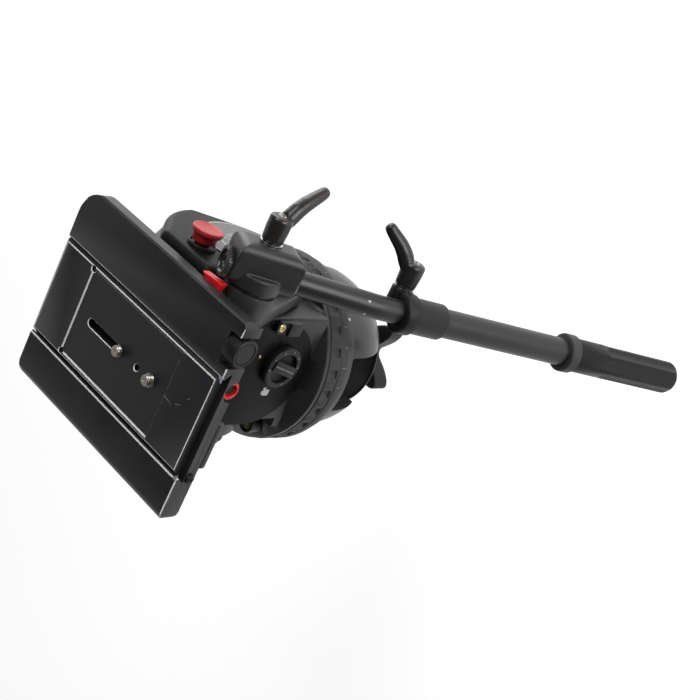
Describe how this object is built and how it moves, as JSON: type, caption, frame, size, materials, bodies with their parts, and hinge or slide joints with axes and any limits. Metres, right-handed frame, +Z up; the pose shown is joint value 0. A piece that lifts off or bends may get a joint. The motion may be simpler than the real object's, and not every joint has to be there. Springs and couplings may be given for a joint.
{
  "type": "fluid video head",
  "caption": "Half-ball fluid head that pans and tilts a sliding camera plate, steered by a clamped telescopic pan bar.",
  "frame": {"origin": "centre of the half ball's sphere, on the pan axis", "axes": "+Z up along the pan axis, +Y to the operator, -Y the way the lens looks, -X the side that carries the pan bar"},
  "size_m": [0.273, 0.3337, 0.4591],
  "materials": {
    "black_anodised": "matt black anodised aluminium, edges worn bright",
    "satin_black_metal": "satin black paint on cast alloy",
    "dark_grey_metal": "fine textured dark grey paint",
    "black_plastic": "moulded black nylon",
    "black_rubber": "ribbed black rubber",
    "red_plastic": "moulded red plastic",
    "steel": "turned steel",
    "chrome": "bright plated",
    "brass": "turned brass",
    "white_paint": "white index mark",
    "grey_label": "printed grey scale label",
    "vial": "green level fluid in clear acrylic"
  },
  "bodies": {
    "base": {"half_ball": "satin_black_metal", "pan_index_dot": "white_paint", "tie_down_stud": "steel", "pan_spindle": "steel"},
    "dish": {"tie_down_dish": "satin_black_metal"},
    "tie_down_knob": {"tie_down_knob": "black_plastic"},
    "pan_drag_ring": {"pan_drag_ring": "black_rubber"},
    "pan_body": {"pan_housing": "satin_black_metal", "rear_panel": "satin_black_metal", "dial_index_dot": "brass", "level_housing": "black_plastic", "level_vial": "vial", "pan_fluid_pack": "dark_grey_metal", "counterbalance_spring_pack": "dark_grey_metal", "tilt_fluid_pack": "dark_grey_metal"},
    "counterbalance_dial": {"counterbalance_dial": "black_plastic", "dial_shaft": "steel"},
    "pan_brake": {"pan_brake_lever": "black_plastic", "brake_screw": "brass"},
    "tilt_yoke": {"platform": "black_anodised", "cheek_left": "dark_grey_metal", "cheek_right": "dark_grey_metal", "tilt_axle": "steel", "side_cover_left": "dark_grey_metal", "scale_label": "grey_label", "button_collar": "black_plastic", "stop_screw": "black_plastic", "plate_clamp_housing": "black_anodised", "release_lever_pin": "steel", "rosette_ring": "steel", "tilt_ring_hub": "satin_black_metal"},
    "tilt_drag_ring": {"tilt_drag_ring": "black_rubber"},
    "tilt_lock_button": {"tilt_lock_button": "red_plastic"},
    "camera_plate": {"camera_plate": "black_anodised"},
    "camera_screw_front": {"camera_screw_front": "steel"},
    "camera_screw_rear": {"camera_screw_rear": "steel"},
    "plate_lock_knob": {"plate_lock_knob": "black_plastic", "lock_knob_shaft": "steel"},
    "safety_catch": {"safety_catch": "red_plastic"},
    "release_lever": {"release_lever": "red_plastic"},
    "pan_bar": {"bar_bracket": "dark_grey_metal", "bar_end_cap": "black_plastic", "bracket_washer": "chrome", "inner_tube": "black_anodised", "tube_pin_1": "steel", "tube_pin_2": "steel"},
    "bracket_lever": {"bracket_lever": "black_plastic", "bracket_lever_screw": "chrome", "bracket_bolt": "steel"},
    "bar_extension": {"bar_collar": "black_plastic", "collar_washer": "chrome", "outer_tube": "black_anodised", "grip_ring": "black_rubber", "hand_grip": "black_rubber"},
    "collar_lever": {"collar_lever": "black_plastic", "collar_lever_screw": "chrome", "collar_bolt": "steel"}
  },
  "joints": [
    {"name": "dish_travel", "type": "slide", "parent": "base", "child": "dish", "axis": [0, 0, 1], "range_m": [-0.0053, 0]},
    {"name": "knob_turn", "type": "hinge", "parent": "dish", "child": "tie_down_knob", "pos_m": [0, 0, -0.085], "axis": [0, 0, 1], "range_deg": [0, 1080]},
    {"name": "pan_drag_set", "type": "hinge", "parent": "base", "child": "pan_drag_ring", "pos_m": [0, 0, 0.036], "axis": [0, 0, 1], "range_deg": [-60, 90]},
    {"name": "pan", "type": "hinge", "parent": "base", "child": "pan_body", "pos_m": [0, 0, 0.05], "axis": [0, 0, 1], "continuous": true},
    {"name": "counterbalance_set", "type": "hinge", "parent": "pan_body", "child": "counterbalance_dial", "pos_m": [-0.021, 0.0695, 0.097], "axis": [0, 1, 0], "range_deg": [-125, 125]},
    {"name": "pan_brake_swing", "type": "hinge", "parent": "pan_body", "child": "pan_brake", "pos_m": [-0.0585, 0.0695, 0.118], "axis": [0, 1, 0], "range_deg": [-30, 0]},
    {"name": "tilt", "type": "hinge", "parent": "pan_body", "child": "tilt_yoke", "pos_m": [0, 0, 0.108], "axis": [1, 0, 0], "range_deg": [-60, 60], "stiffness_Nm_per_rad": 2.2},
    {"name": "tilt_drag_set", "type": "hinge", "parent": "tilt_yoke", "child": "tilt_drag_ring", "pos_m": [0.073, 0, 0.108], "axis": [1, 0, 0], "range_deg": [-60, 90]},
    {"name": "tilt_lock_press", "type": "slide", "parent": "tilt_yoke", "child": "tilt_lock_button", "axis": [1, 0, 0], "range_m": [0, 0.003], "stiffness_N_per_m": 900, "springref_m": -0.001},
    {"name": "plate_slide", "type": "slide", "parent": "tilt_yoke", "child": "camera_plate", "axis": [0, 1, 0], "range_m": [-0.06, 0.06]},
    {"name": "front_screw_travel", "type": "slide", "parent": "camera_plate", "child": "camera_screw_front", "axis": [0, 1, 0], "range_m": [-0.042, 0]},
    {"name": "rear_screw_turn", "type": "hinge", "parent": "camera_plate", "child": "camera_screw_rear", "pos_m": [0.007, 0.048, 0.205], "axis": [0, 0, 1], "continuous": true},
    {"name": "plate_lock_turn", "type": "hinge", "parent": "tilt_yoke", "child": "plate_lock_knob", "pos_m": [-0.062, 0.11, 0.2005], "axis": [0, 1, 0], "range_deg": [-120, 120]},
    {"name": "safety_catch_press", "type": "slide", "parent": "tilt_yoke", "child": "safety_catch", "axis": [0, -1, 0], "range_m": [0, 0.0025], "stiffness_N_per_m": 700, "springref_m": -0.001},
    {"name": "plate_release", "type": "hinge", "parent": "tilt_yoke", "child": "release_lever", "pos_m": [-0.0838, 0.058, 0.195], "axis": [0, 0, 1], "range_deg": [0, 12], "stiffness_Nm_per_rad": 0.25, "springref_deg": -2.86},
    {"name": "bar_angle", "type": "hinge", "parent": "tilt_yoke", "child": "pan_bar", "pos_m": [-0.0925, 0.066, 0.166], "axis": [1, 0, 0], "range_deg": [-45, 80]},
    {"name": "bracket_clamp", "type": "hinge", "parent": "pan_bar", "child": "bracket_lever", "pos_m": [-0.131, 0.066, 0.166], "axis": [1, 0, 0], "range_deg": [-75, 75]},
    {"name": "bar_telescope", "type": "slide", "parent": "pan_bar", "child": "bar_extension", "axis": [0, 0.3239, -0.9461], "range_m": [0, 0.14]},
    {"name": "collar_clamp", "type": "hinge", "parent": "bar_extension", "child": "collar_lever", "pos_m": [-0.122, 0.10862, 0.04241], "axis": [1, 0, 0], "range_deg": [-60, 60]}
  ],
  "couplings": [
    {"joint": "dish_travel", "follows": "knob_turn", "m_per_rad": -0.0002785}
  ]
}
